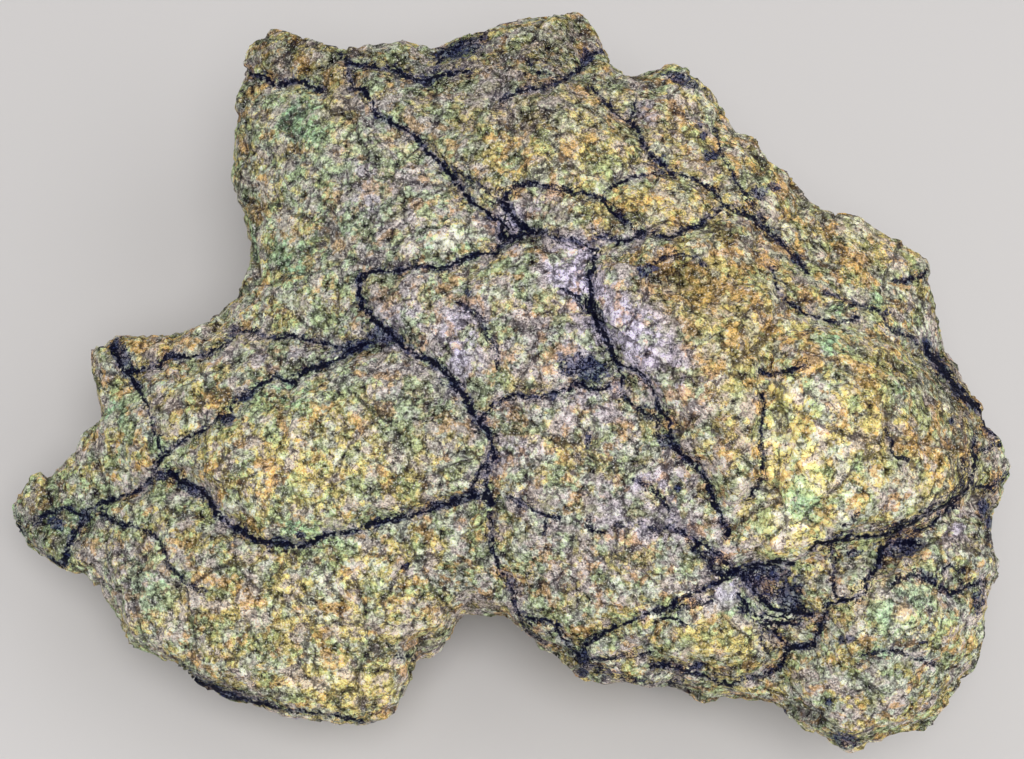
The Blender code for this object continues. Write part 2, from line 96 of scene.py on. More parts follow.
# The veins on the sides that the picture doesn't show: the seed and the breadth in millimetres of
# the noise that each net follows, and half their width in pixels, as a groove and as a stain
HIDDEN_NETS = ((1, 20.0), (2, 14.0))
HIDDEN_GROOVE = 2
HIDDEN_STAIN = 2.4

# The tints there: the breadth of a patch in millimetres, the noise at which it starts and is
# fullest, its strength, and the first one's seed
DRIFT_BREADTH = 9.0
DRIFT_EDGES = (0.05, 0.7)
DRIFT_STRENGTH = 0.6
DRIFT_SEED = 30

# The net of dark veins as seen, with a few dark lines of painted shade under the dome and on the front
# walls: each one's width in pixels, and the pixels that it runs through
VEINS = {
    "diagonal_head": (6, [
        (350, 88), (363, 90), (372, 102), (375, 115), (385, 120), (400, 127), (413, 135),
    ]),
    "diagonal": (7, [
        (413, 135), (427, 150), (440, 163), (453, 177), (467, 197), (487, 213), (507, 227),
    ]),
    "diagonal_double": (3, [(453, 170), (467, 177), (483, 187), (497, 200), (503, 210)]),
    "junction_spur": (9, [(505, 204), (509, 214), (519, 224), (536, 233)]),
    "junction_hook": (7, [(501, 222), (502, 238), (515, 237), (524, 234)]),
    "brow_root": (6, [(507, 208), (507, 192), (514, 187)]),
    "brow": (5, [
        (514, 187), (528, 184), (540, 185), (566, 191), (591, 194), (603, 200), (615, 214), (625, 221),
    ]),
    "brow_tail": (4, [(625, 221), (636, 229), (655, 236)]),
    "brow_fork": (5, [(598, 236), (612, 240), (626, 243), (640, 234), (652, 233)]),
    "right_rise": (5, [
        (655, 235), (669, 238), (684, 231), (699, 225), (716, 213), (724, 205), (734, 210),
        (754, 218), (764, 228), (775, 235), (783, 244), (797, 259), (807, 273),
    ]),
    "top_right": (5, [
        (591, 88), (607, 104), (618, 116), (630, 122), (639, 133), (644, 147), (656, 159), (671, 171),
    ]),
    "top_right_spur": (3, [(630, 122), (634, 110), (636, 100)]),
    "small_lens_arc": (4, [(611, 187), (632, 178), (654, 173), (685, 175), (713, 190), (724, 204)]),
    "edge_crease": (3, [(715, 130), (722, 155), (735, 180), (752, 203), (765, 222)]),
    "top_edge": (6, [
        (341, 55), (349, 63), (367, 66), (394, 69), (404, 75), (424, 82), (445, 74), (471, 71),
    ]),
    "top_arc": (6, [(436, 70), (438, 61), (445, 49), (462, 44), (482, 39)]),
    "top_link": (4, [(341, 55), (348, 70), (352, 84)]),
    "top_left_edge": (8, [
        (243, 73), (263, 75), (270, 82), (280, 85), (297, 80), (310, 87), (320, 90),
    ]),
    "peak_line": (5, [(603, 51), (587, 55), (583, 67), (562, 80), (544, 88), (522, 90), (501, 100)]),
    "peak_spur": (3, [(528, 61), (534, 71), (550, 75)]),
    "lens_top_left": (5, [
        (154, 470), (165, 454), (186, 438), (207, 429), (218, 417), (232, 415), (231, 404),
        (243, 397), (259, 385), (278, 377),
    ]),
    "lens_top": (6, [
        (278, 377), (294, 384), (305, 370), (321, 367), (335, 360), (352, 350), (372, 342),
    ]),
    "lens_right": (7, [
        (395, 341), (415, 355), (436, 364), (450, 378), (466, 397), (475, 417), (484, 425),
    ]),
    "lens_corner": (6, [(484, 425), (493, 440), (493, 459), (480, 470), (470, 490)]),
    "lens_bottom_right": (8, [(488, 496), (468, 496), (444, 504), (420, 513), (392, 520), (370, 525)]),
    "lens_bottom": (8, [
        (370, 525), (347, 533), (330, 533), (314, 541), (301, 546), (287, 544), (264, 541),
    ]),
    "lens_bottom_left": (9, [
        (170, 473), (187, 484), (204, 493), (212, 504), (218, 515), (235, 527), (252, 538),
        (269, 543),
    ]),
    "left_fall": (4, [(163, 458), (157, 440), (152, 420), (147, 405), (138, 387)]),
    "left_fall_head": (9, [(138, 387), (127, 373), (117, 357), (110, 339)]),
    "left_rung": (6, [
        (130, 372), (145, 368), (158, 366), (167, 355), (185, 357), (207, 355), (220, 348),
        (232, 339), (236, 330),
    ]),
    "shoulder_line": (5, [(238, 330), (258, 332), (272, 339), (292, 335), (313, 342), (335, 345)]),
    "tip_line": (6, [
        (150, 480), (140, 490), (125, 495), (110, 500), (100, 503), (88, 510), (85, 517),
    ]),
    "tip_under": (5, [(101, 514), (113, 521), (126, 526)]),
    "tip_rim": (6, [(12, 506), (15, 522), (25, 543), (38, 555), (64, 568)]),
    "tip_cross": (4, [(34, 524), (48, 514), (68, 507), (78, 514)]),
    "left_hem": (3, [(129, 524), (146, 531), (160, 541), (170, 565), (184, 582), (204, 592)]),
    "centre_top": (6, [
        (524, 235), (502, 244), (496, 253), (485, 252), (467, 259), (450, 265), (441, 270), (428, 266),
        (417, 266), (398, 272), (376, 270), (365, 274),
    ]),
    "centre_left": (8, [
        (365, 274), (358, 283), (358, 294), (365, 309), (376, 322), (391, 333), (404, 347),
    ]),
    "centre_fall": (8, [
        (404, 347), (422, 357), (439, 368), (450, 377), (463, 396), (471, 412), (480, 424), (489, 432),
    ]),
    "centre_double": (3, [(440, 383), (456, 391), (465, 400)]),
    "centre_foot": (5, [
        (483, 414), (496, 403), (515, 393), (526, 398), (539, 397), (556, 393), (570, 388),
        (580, 383), (596, 390), (607, 388), (620, 386),
    ]),
    "centre_fissure": (3, [(458, 303), (471, 312), (483, 320), (487, 335), (496, 349), (498, 368)]),
    "inner_right": (4, [(561, 288), (572, 294), (580, 299), (583, 310), (591, 313)]),
    "long_head": (5, [(540, 230), (550, 236), (565, 240), (576, 240), (596, 251)]),
    "long_neck": (7, [(596, 251), (595, 266), (588, 275), (591, 293)]),
    "long_body": (10, [(591, 293), (591, 306), (596, 323), (605, 336), (611, 349)]),
    "long_tail": (6, [(611, 349), (618, 366), (623, 376), (620, 386)]),
    "long_branch": (6, [
        (618, 366), (633, 368), (646, 378), (654, 394), (659, 409), (668, 418), (672, 432),
        (669, 443), (681, 456),
    ]),
    "long_low": (7, [
        (672, 445), (686, 458), (699, 468), (708, 482), (714, 502), (721, 516), (728, 533),
    ]),
    "long_side": (3, [(623, 396), (636, 407), (651, 419)]),
    "long_loop": (3, [(658, 414), (657, 430), (663, 444)]),
    "lower_fall": (6, [
        (489, 434), (493, 446), (495, 458), (488, 468), (486, 483), (491, 497), (490, 517), (492, 533),
        (493, 549),
    ]),
    "lower_fall_foot": (5, [
        (493, 549), (499, 568), (511, 582), (513, 600), (519, 614), (535, 620), (557, 624), (561, 636),
        (573, 650), (584, 659),
    ]),
    "lower_fall_spur": (3, [(519, 614), (525, 628), (545, 643)]),
    "middle_line": (5, [(509, 497), (521, 503), (539, 513), (559, 519)]),
    "middle_drop": (3, [(545, 517), (545, 535)]),
    "middle_thread": (2.5, [(584, 521), (592, 529), (606, 533)]),
    "middle_sweep": (2.5, [(618, 526), (645, 524), (657, 533), (670, 526)]),
    "middle_short": (2.5, [(634, 481), (648, 487), (661, 499), (673, 515)]),
    "middle_hook": (4, [(692, 550), (708, 557), (711, 570), (727, 577)]),
    "lower_lens_top": (5, [
        (588, 643), (600, 636), (608, 630), (628, 622), (648, 614), (667, 608), (687, 596), (707, 588),
        (727, 578), (747, 572),
    ]),
    "lower_lens_foot": (3.5, [(590, 660), (605, 659), (621, 657), (638, 655), (650, 652)]),
    "lower_lens_heel": (4, [(587, 665), (600, 668), (605, 677)]),
    "lower_lens_base": (6, [(652, 665), (669, 666), (689, 672), (706, 676), (720, 683), (731, 685)]),
    "lower_lens_end": (5, [(731, 685), (743, 679), (760, 676), (774, 671), (781, 666), (786, 652)]),
    "lower_lens_inner": (3, [(660, 617), (675, 619), (685, 625)]),
    "lower_lens_thread": (2.5, [(680, 611), (690, 606), (700, 604), (715, 602)]),
    "lower_lens_edge": (3, [(740, 610), (750, 617), (760, 623), (762, 640), (766, 652)]),
    "tangle_top": (7, [(722, 575), (735, 572), (749, 568), (764, 563), (780, 562), (794, 564)]),
    "tangle_cross": (7, [(743, 577), (755, 592), (768, 606), (785, 612), (798, 613), (810, 613)]),
    "tangle_low": (5, [(737, 592), (749, 610), (770, 623), (800, 624)]),
    "tangle_mid": (4, [(750, 572), (765, 584), (783, 597), (802, 606)]),
    "scarp": (6, [
        (764, 626), (779, 636), (787, 646), (800, 647), (814, 644), (818, 632), (825, 615),
        (828, 604), (848, 600), (863, 594), (867, 579), (878, 566), (881, 552),
    ]),
    "scarp_spur": (4, [(831, 547), (836, 562), (832, 581), (836, 598)]),
    "dome_foot": (7, [
        (812, 549), (817, 544), (834, 541), (852, 537), (872, 536), (893, 532), (903, 527),
    ]),
    "dome_foot_end": (6, [(903, 527), (920, 518), (934, 510), (951, 503), (965, 491), (973, 477)]),
    "dome_side": (5, [(973, 477), (975, 457), (973, 440)]),
    "dome_layer_low": (4, [(910, 532), (932, 524), (941, 514), (955, 508)]),
    "dome_layer_high": (2.5, [(843, 526), (850, 521), (857, 514)]),
    "dome_layer_mid": (3, [
        (880, 531), (900, 524), (921, 513), (940, 501), (955, 490), (963, 476), (963, 460),
    ]),
    # painted shadow under the dome's overhang, drawn as a wide dark vein
    "painted_shadow_under_dome": (10, [(880, 549), (890, 545), (902, 542), (918, 543)]),
    "lobe_top": (4, [(972, 452), (985, 449), (1003, 443)]),
    "lobe_foot": (6, [(978, 487), (993, 486), (1003, 480), (1012, 475)]),
    "right_hook": (5, [(916, 573), (930, 582), (941, 588), (951, 596), (965, 587), (982, 582)]),
    "right_bow": (3, [(940, 572), (950, 566), (963, 572)]),
    "right_link": (3, [(916, 575), (903, 578), (893, 584)]),
    "low_right_seam": (3, [(863, 655), (876, 652), (890, 650), (912, 657), (933, 665)]),
    "block_ledge": (5, [(805, 365), (793, 370), (770, 375), (760, 371)]),
    "block_side": (4, [
        (762, 394), (764, 410), (761, 428), (761, 445), (763, 462), (763, 478), (752, 494), (742, 502),
    ]),
    "edge_stripe": (11, [(925, 347), (936, 361), (951, 381), (965, 398), (982, 412)]),
    "edge_stripe_foot": (7, [(984, 416), (986, 430), (996, 434)]),
    "dome_crack": (2.5, [(886, 429), (892, 445), (893, 457), (907, 459)]),
    "upper_right_line": (4, [
        (827, 293), (847, 300), (866, 307), (880, 312), (886, 325), (895, 332), (910, 336), (922, 347),
    ]),
    "upper_right_low": (4.5, [(773, 267), (777, 290), (793, 307), (813, 317), (837, 323), (857, 318)]),
    "corner_line": (4, [(895, 281), (907, 280), (919, 278), (930, 269)]),
    "pit_brow": (3, [(655, 262), (668, 256), (682, 254), (697, 258), (708, 268)]),
    # painted shade on the front walls, which turn down away from the light, drawn as dark veins
    "painted_shade_front_wall_left": (7, [(183, 668), (200, 683), (225, 693), (250, 701), (275, 707)]),
    "painted_shade_front_wall": (4, [(275, 707), (305, 712), (335, 715), (362, 722)]),
    "notch_edge": (3, [(398, 658), (406, 656), (414, 658)]),
    "lower_rim": (3.5, [(590, 666), (618, 676), (645, 683), (662, 686), (682, 681)]),
    "tip_fall": (7, [(85, 517), (80, 526), (73, 538), (66, 555), (63, 566)]),
    "middle_fall": (6, [(670, 526), (689, 536), (706, 546), (718, 556), (730, 566), (741, 571)]),
}

# Pools of the same dark matter, and pools of painted shadow under the dome and of painted shade on the
# front wall: centre, half width and half height in pixels, turn in degrees
POOLS = {
    "lens_pool": (384, 335, 20, 10, 12),
    "lens_pool_tail": (354, 347, 18, 7, -12),
    "junction": (511, 213, 5, 9, -40),
    "top": (427, 81, 8, 6, 0),
    "peak": (588, 56, 7, 6, 30),
    "upper_a": (661, 161, 8, 5, 35),
    "upper_b": (704, 136, 5, 4, 0),
    "upper_c": (700, 124, 3, 5, 0),
    "edge_a": (758, 193, 9, 7, 20),
    "edge_b": (774, 187, 7, 5, 0),
    "rise_a": (775, 235, 7, 5, 30),
    "rise_b": (796, 258, 6, 6, 0),
    "corner_a": (904, 281, 6, 4, 0),
    "corner_b": (886, 313, 6, 3, 0),
    "corner_c": (927, 345, 5, 9, -20),
    "stripe_a": (942, 370, 6, 9, -30),
    "stripe_b": (957, 390, 7, 7, 0),
    "rim_a": (990, 523, 5, 8, 0),
    "rim_b": (983, 507, 6, 8, 0),
    "rim_c": (996, 433, 5, 4, 0),
    "tip_a": (85, 516, 6, 8, 0),
    "tip_b": (64, 562, 5, 6, 0),
    "tip_c": (56, 523, 10, 6, 20),
    "lens_a": (277, 539, 6, 4, -5),
    "lens_b": (301, 535, 6, 4, 0),
    "lens_c": (288, 546, 5, 3, 0),
    "lens_end": (470, 495, 14, 5, -15),
    "block_notch": (761, 428, 4, 3, 0),
    "foot_ring": (554, 395, 5, 4, 0),
    "tangle_a": (772, 572, 22, 9, 12),
    "tangle_b": (790, 594, 15, 13, 40),
    "tangle_c": (806, 612, 8, 6, 0),
    "root_a": (583, 656, 7, 8, 20),
    "root_b": (583, 673, 5, 6, 0),
    # painted shadow under the dome's overhang
    "painted_shadow_under_dome_a": (902, 543, 16, 5, -4),
    "painted_shadow_under_dome_b": (853, 553, 9, 4, -10),
    "toe_a": (846, 640, 8, 5, -20),
    "toe_b": (783, 712, 4, 3, 0),
    "toe_c": (828, 702, 4, 4, 0),
    "spot_a": (405, 566, 5, 4, 0),
    "spot_b": (467, 292, 4, 4, 0),
    "spot_c": (650, 268, 7, 5, 0),
    "spot_d": (640, 236, 6, 5, 0),
    "spot_e": (696, 665, 7, 5, -20),
    "left_corner": (106, 342, 8, 5, -30),
    # painted shade on the front wall
    "painted_shade_wall": (230, 696, 14, 5, 12),
    "long_a": (600, 318, 6, 12, -20),
    "long_b": (664, 440, 7, 6, 0),
    "lens_foot": (195, 490, 15, 7, 25),
    "lens_root": (161, 476, 9, 6, 10),
    "lens_brow_a": (228, 420, 9, 5, -20),
    "lens_brow_b": (246, 396, 11, 5, -25),
    "fall_head": (121, 352, 7, 18, -28),
    "rung": (176, 356, 8, 4, 0),
    "lens_elbow": (480, 421, 8, 7, 45),
    "elbow_spot": (496, 459, 6, 4, 0),
    "lens_low": (452, 502, 30, 5, -15),
    "long_knot": (676, 447, 8, 5, 40),
    "long_spot": (679, 490, 3, 3, 0),
    "rim_wall": (978, 600, 6, 15, 0),
    "hook_band": (929, 577, 13, 5, 35),
    "scarp_foot": (802, 646, 12, 4, 0),
    "toe_d": (925, 644, 6, 3, 0),
    "toe_e": (843, 741, 15, 8, 0),
    "edge_spot": (951, 421, 3, 3, 0),
    # painted shadow under the dome's overhang
    "painted_shadow_under_dome_c": (898, 552, 20, 5, 0),
    "tangle_d": (752, 578, 14, 10, 30),
    "crown": (460, 50, 24, 8, -18),
    "crown_end": (587, 57, 6, 8, 10),
    "right_crown": (682, 80, 22, 6, 20),
    "right_patch": (711, 156, 9, 5, 0),
    "pit_side": (643, 272, 7, 6, 0),
    "pale_stone": (588, 440, 3, 14, 5),
    "long_net": (584, 368, 26, 13, 12),
}

# Tints that gather in patches: centre, half width and half height in pixels, turn, and strength
TINTS = {
    "yellow": [
        (340, 688, 60, 26, 5, 0.8), (300, 620, 120, 60, 10, 0.35), (330, 455, 120, 55, 5, 0.35),
        (560, 130, 110, 55, 5, 0.45), (662, 205, 46, 24, 8, 0.6), (735, 640, 46, 26, 0, 0.6),
        (800, 470, 50, 80, 0, 0.35), (690, 300, 16, 14, 0, 0.6), (575, 450, 16, 20, 30, 0.4),
        (860, 600, 50, 30, 0, 0.3), (430, 620, 30, 22, 0, 0.5), (600, 150, 50, 30, 0, 0.3),
        (335, 110, 18, 40, 0, 0.6), (700, 300, 30, 30, 0, 0.8), (870, 410, 26, 60, 0, 0.7),
        (960, 480, 22, 22, 0, 0.8), (740, 340, 24, 30, 0, 0.5), (785, 400, 20, 20, 0, 0.5),
    ],
    "rust": [
        (684, 280, 38, 22, 8, 0.9), (712, 362, 22, 16, 0, 0.8), (716, 412, 15, 24, 0, 0.5),
        (746, 437, 12, 14, 0, 0.7), (253, 530, 16, 9, 20, 0.6), (910, 450, 46, 16, 8, 0.55),
        (976, 393, 14, 12, 40, 0.7), (876, 236, 22, 14, 30, 0.55), (698, 647, 14, 8, 0, 0.5),
        (860, 265, 80, 34, 30, 0.3), (945, 440, 36, 50, 0, 0.3), (560, 42, 60, 22, -18, 0.3),
        (295, 62, 56, 20, 10, 0.3), (150, 345, 30, 8, 0, 0.6), (190, 347, 24, 10, 0, 0.5),
        (735, 320, 60, 60, 0, 0.4), (565, 205, 50, 14, 8, 0.3), (820, 370, 60, 14, 0, 0.2),
        (830, 230, 120, 90, 20, 0.4), (715, 170, 60, 50, 30, 0.35), (745, 380, 40, 90, 0, 0.4),
        (935, 440, 60, 70, 0, 0.4), (740, 300, 70, 90, 0, 0.6), (790, 300, 60, 40, 0, 0.4),
        (870, 380, 40, 50, 0, 0.4), (590, 160, 50, 40, 0, 0.3), (630, 205, 50, 20, 0, 0.3),
        (868, 258, 30, 30, 0, 0.6), (915, 480, 50, 16, 0, 0.4),
    ],
    "green": [
        (305, 122, 34, 28, 0, 0.8), (442, 243, 32, 8, 0, 0.9), (295, 262, 14, 20, 0, 0.8),
        (252, 248, 7, 25, -10, 0.7), (300, 526, 22, 10, 0, 0.8), (283, 394, 30, 14, 0, 0.5),
        (114, 414, 12, 18, 0, 0.8), (167, 580, 9, 8, 0, 0.8), (835, 345, 22, 22, 0, 0.6),
        (876, 299, 10, 9, 0, 0.8), (845, 466, 24, 16, 0, 0.5), (900, 388, 20, 16, 30, 0.7),
        (856, 400, 8, 12, 0, 0.6), (882, 655, 26, 16, 0, 0.5), (890, 615, 36, 20, 0, 0.5),
        (290, 200, 50, 100, 0, 0.3), (600, 170, 30, 12, 0, 0.4), (150, 440, 20, 20, 0, 0.4),
        (845, 310, 24, 8, 10, 0.7), (910, 270, 10, 12, 0, 0.4), (330, 230, 80, 110, 0, 0.35),
        (400, 140, 60, 60, 0, 0.3), (350, 330, 90, 60, 0, 0.25), (55, 520, 60, 50, 0, 0.4),
        (420, 400, 60, 50, 0, 0.3), (320, 540, 60, 30, 0, 0.35), (150, 590, 40, 40, 0, 0.4),
        (800, 500, 30, 26, 0, 0.6), (285, 395, 40, 20, 0, 0.6), (595, 365, 24, 20, 0, 0.4),
        (290, 255, 30, 40, 0, 0.5), (735, 605, 24, 16, 0, 0.5), (900, 600, 40, 24, 0, 0.5),
    ],
    "lilac": [
        (572, 268, 32, 34, 30, 0.8), (643, 340, 78, 36, 50, 0.75), (460, 320, 60, 44, 10, 0.35),
        (545, 208, 18, 18, 0, 0.6), (560, 560, 60, 50, 0, 0.2), (620, 240, 30, 12, 0, 0.4),
        (500, 350, 40, 30, 0, 0.3), (690, 400, 30, 40, 0, 0.2),
        (400, 200, 60, 100, 0, 0.3), (570, 330, 70, 60, 0, 0.35), (600, 400, 80, 50, 0, 0.35),
        (660, 500, 70, 50, 0, 0.35), (420, 380, 60, 60, 0, 0.3), (510, 440, 50, 50, 0, 0.35),
        (285, 360, 60, 20, 0, 0.4), (510, 90, 70, 30, 0, 0.35), (130, 580, 50, 40, 0, 0.35),
        (900, 590, 60, 30, 0, 0.3), (400, 320, 50, 60, 0, 0.4), (600, 340, 60, 60, 0, 0.5),
        (370, 190, 40, 90, 0, 0.4), (640, 520, 90, 40, 10, 0.4),
        (955, 525, 30, 20, 0, 0.5), (470, 650, 60, 40, 0, 0.3),
        (512, 225, 26, 26, 0, 0.6), (460, 345, 34, 70, 0, 0.55), (585, 290, 32, 22, 0, 0.7),
        (642, 115, 24, 24, 0, 0.5), (730, 590, 30, 24, 0, 0.5), (650, 482, 70, 20, 0, 0.45),
    ],
}

# How much lighter or darker patches are painted, as above, with the share of brightness last:
# painted shade on rims, walls and hollows, the rims partly dark crust too, and painted light on rises
PAINTED_LIGHT_AND_SHADE = {
    # painted shade on the rims, which are partly dark crust
    "crust_and_painted_shade_rims": [
        (420, 62, 170, 24, -3, -0.25), (560, 42, 56, 26, -18, -0.3), (285, 52, 52, 20, 5, -0.25),
        (246, 160, 12, 100, 0, -0.25), (50, 525, 44, 28, 10, -0.4), (955, 385, 24, 44, -38, -0.35),
        (985, 518, 12, 24, 0, -0.45), (456, 84, 26, 12, 0, -0.2), (600, 82, 30, 12, -18, -0.12),
    ],
    # painted shade on the walls and in a notch
    "painted_shade_walls_and_notch": [
        (228, 692, 50, 12, 14, -0.45), (578, 660, 22, 22, 0, -0.4), (215, 545, 40, 24, 30, -0.2),
        (112, 365, 32, 20, 0, -0.25),
    ],
    # painted shade in the hollows
    "painted_shade_upper_hollows": [
        (525, 122, 26, 12, -6, -0.35), (430, 105, 70, 40, 0, -0.12), (645, 122, 24, 24, 0, -0.2),
        (540, 100, 56, 24, -6, -0.13), (372, 215, 16, 44, 0, -0.2), (464, 162, 20, 20, 0, -0.12),
        (550, 236, 26, 14, 0, -0.3), (690, 165, 24, 14, 0, -0.14), (375, 118, 20, 14, 0, -0.12),
        (720, 240, 60, 14, 0, -0.05),
    ],
    # painted shade in the hollows
    "painted_shade_middle_hollows": [
        (365, 347, 32, 12, -10, -0.3), (600, 362, 26, 14, 0, -0.25), (512, 450, 18, 30, 0, -0.15),
        (285, 345, 40, 16, 0, -0.15), (645, 277, 20, 16, 0, -0.2), (285, 362, 26, 12, 0, -0.18),
        (448, 414, 36, 32, 0, -0.18), (585, 368, 40, 14, 0, -0.1), (362, 300, 24, 40, 0, -0.14),
        (825, 362, 18, 14, 0, -0.15), (678, 270, 32, 12, 8, -0.14), (555, 405, 22, 12, 0, -0.15),
        (735, 402, 12, 12, 0, -0.2),
    ],
    # painted shade in the hollows
    "painted_shade_lower_hollows": [
        (775, 590, 44, 32, 30, -0.3), (540, 570, 50, 70, 20, -0.12), (480, 590, 40, 26, 20, -0.15),
    ],
    # painted light on the block and on the dome's lit side
    "painted_light_block_and_dome": [
        (820, 470, 56, 84, 0, 0.2), (783, 480, 34, 110, 0, 0.28), (955, 480, 26, 26, 0, 0.15),
        (915, 515, 30, 16, 0, 0.2), (780, 396, 18, 26, 0, 0.25), (735, 520, 24, 20, 0, 0.2),
        (780, 535, 16, 30, 0, 0.2), (850, 325, 60, 16, 0, 0.15),
    ],
    # painted light on the rises
    "painted_light_upper_rises": [
        (442, 243, 30, 9, 0, 0.2), (574, 268, 28, 28, 0, 0.2), (643, 340, 74, 30, 50, 0.1),
        (600, 330, 20, 16, 0, 0.15), (555, 160, 24, 20, 0, 0.15), (645, 200, 20, 16, 0, 0.15),
    ],
    # painted light on the rises
    "painted_light_middle_rises": [
        (555, 440, 24, 26, 0, 0.15), (692, 400, 24, 24, 0, 0.2), (310, 460, 60, 50, 0, 0.1),
        (285, 480, 20, 16, 0, 0.15),
    ],
    # painted light on the rises
    "painted_light_lower_rises": [
        (340, 690, 50, 24, 0, 0.15), (735, 640, 40, 24, 0, 0.12), (900, 612, 46, 26, 0, 0.18),
        (690, 598, 50, 20, 0, 0.15), (330, 590, 60, 60, 0, 0.1), (780, 610, 30, 12, 0, 0.2),
        (600, 560, 20, 16, 0, 0.2), (330, 680, 24, 16, 0, 0.2), (510, 560, 16, 20, 0, 0.2),
    ],
}


class Wire:
    """A number that varies over the surface. Python's operators on it add Math nodes."""

    def __init__(self, shader, socket):
        self.shader = shader
        self.socket = socket

    def __add__(self, other):
        return self.shader.math("ADD", self, other)

    __radd__ = __add__

    def __sub__(self, other):
        return self.shader.math("SUBTRACT", self, other)

    def __rsub__(self, other):
        return self.shader.math("SUBTRACT", other, self)

    def __mul__(self, other):
        return self.shader.math("MULTIPLY", self, other)

    __rmul__ = __mul__

    def __abs__(self):
        return self.shader.math("ABSOLUTE", self)


class Shader:
    """A material under construction, and the ways to add nodes to it."""

    def __init__(self, name):
        self.material = bpy.data.materials.new(name)
        self.material.use_nodes = True
        self.tree = self.material.node_tree
        self.surface = self.tree.nodes["Principled BSDF"]

    def node(self, kind, settings=None, inputs=None):
        """A new node. Its settings come first, then the values or links of its sockets."""
        made = self.tree.nodes.new(kind)
        for name, value in (settings or {}).items():
            setattr(made, name, value)
        for name, value in (inputs or {}).items():
            self.feed(made.inputs[name], value)
        return made

    def feed(self, socket, value):
        """Links a wire to a socket, or sets the socket to a plain value."""
        if isinstance(value, Wire):
            self.tree.links.new(value.socket, socket)
        else:
            socket.default_value = value

    def out(self, made, name=0):
        return Wire(self, made.outputs[name])

    def math(self, operation, *values):
        made = self.node("ShaderNodeMath", {"operation": operation}, dict(enumerate(values)))
        return self.out(made)

    def largest(self, first, *others):
        for other in others:
            first = self.math("MAXIMUM", first, other)
        return first

    def scaled(self, vector, factor):
        made = self.node("ShaderNodeVectorMath", {"operation": "SCALE"}, {0: vector, "Scale": factor})
        return self.out(made)

    def length(self, x, y):
        """The length of a flat vector, given by its two parts."""
        vector = self.out(self.node("ShaderNodeCombineXYZ", None, {0: x, 1: y, 2: 0.0}))
        made = self.node("ShaderNodeVectorMath", {"operation": "LENGTH"}, {0: vector})
        return self.out(made, "Value")

    def mix(self, share, first, second, blend="MIX"):
        """Two colours mixed: first where share is 0, second where it is 1."""
        settings = {"data_type": "RGBA", "blend_type": blend}
        made = self.node("ShaderNodeMix", settings, {0: share, 6: first, 7: second})
        return self.out(made, 2)

    def step(self, value, start, end):
        """0 up to start, 1 from end on, smooth between. start may be the larger."""
        if start > end:
            return 1 - self.step(value, end, start)
        settings = {"interpolation_type": "SMOOTHSTEP"}
        inputs = {"Value": value, "From Min": start, "From Max": end}
        return self.out(self.node("ShaderNodeMapRange", settings, inputs))

    def noise(self, place, scale, detail=2.0, roughness=0.5, result="Fac"):
        inputs = {"Vector": place, "Scale": scale, "Detail": detail, "Roughness": roughness}
        return self.out(self.node("ShaderNodeTexNoise", None, inputs), result)

    def split(self, colour):
        made = self.node("ShaderNodeSeparateColor", None, {0: colour})
        return [self.out(made, name) for name in ("Red", "Green", "Blue")]

    def grey(self, value):
        inputs = {"Red": value, "Green": value, "Blue": value}
        return self.out(self.node("ShaderNodeCombineColor", None, inputs))

    def attribute(self, name):
        """The four numbers that the surface's points carry under a name."""
        made = self.node("ShaderNodeAttribute", {"attribute_name": name})
        return *self.split(self.out(made, "Color")), self.out(made, "Alpha")


SCREEN_POWER = 2.2


def tone(red, green, blue):
    """A colour given as it shows on screen, 0 to 255, as the shader takes it."""
    return (*[(part / 255) ** SCREEN_POWER for part in (red, green, blue)], 1.0)


def seen_pixels(points):
    """The pixel at which each point shows, if nothing hides it."""
    offset = points - np.array(EYE)
    nearer = EYE_DISTANCE / -(offset @ np.array(EYE_BACK)) / PIXEL
    right = offset[:, 0] * nearer
    up = (offset @ np.array(EYE_UP)) * nearer
    return np.c_[PICTURE_SIZE[0] / 2 + right, PICTURE_SIZE[1] / 2 - up]


def smooth(value, start, end):
    share = np.clip((value - start) / (end - start), 0, 1)
    return share * share * (3 - 2 * share)


def mesh_points(mesh):
    points = np.empty(len(mesh.vertices) * 3, np.float32)
    mesh.vertices.foreach_get("co", points)
    return points.reshape(-1, 3).astype(float)


def mesh_normals(mesh):
    normals = np.empty(len(mesh.vertices) * 3, np.float32)
    mesh.vertex_normals.foreach_get("vector", normals)
    return normals.reshape(-1, 3).astype(float)


def applied(piece, name):
    """The mesh that the piece's modifiers give, as a new mesh, with the modifiers taken off."""
    graph = bpy.context.evaluated_depsgraph_get()
    mesh = bpy.data.meshes.new_from_object(piece.evaluated_get(graph))
    piece.modifiers.clear()
    old = piece.data
    piece.data = mesh
    bpy.data.meshes.remove(old)
    mesh.name = name
    return mesh


# Large odd numbers that scatter the numbers of neighbouring cells
SCATTER_X, SCATTER_Y, SCATTER_Z, SCATTER_ALL = 73856093, 19349663, 83492791, 2246822519
MOST_CELLS = 500  # each way from the middle
TEN_BITS = 1023


def random_in_cell(cell, seed):
    """Three numbers from 0 to 1 for each cell of a grid, the same every time."""
    x, y, z = (cell + MOST_CELLS).astype(np.uint32).T
    value = x * np.uint32(SCATTER_X) ^ y * np.uint32(SCATTER_Y) ^ z * np.uint32(SCATTER_Z + 2 * seed)
    for shift in (15, 13, 16):
        value = (value ^ (value >> np.uint32(shift))) * np.uint32(SCATTER_ALL)
    parts = [value >> np.uint32(bits) & np.uint32(TEN_BITS) for bits in (2, 12, 22)]
    return np.stack(parts, 1) / TEN_BITS


def waves(points, breadth, seed):
    """Smooth noise, mostly between -1 and 1, with a swell every breadth millimetres or so."""
    place = points / (breadth * MM)
    corner = np.floor(place)
    inside = place - corner
    ease = inside * inside * (3 - 2 * inside)
    total = np.zeros(len(points))
    for step in np.ndindex(2, 2, 2):
        slope = random_in_cell(corner + step, seed) - 0.5
        share = np.where(step, ease, 1 - ease).prod(1)
        total += share * (slope * (inside - step)).sum(1)
    return total * 3


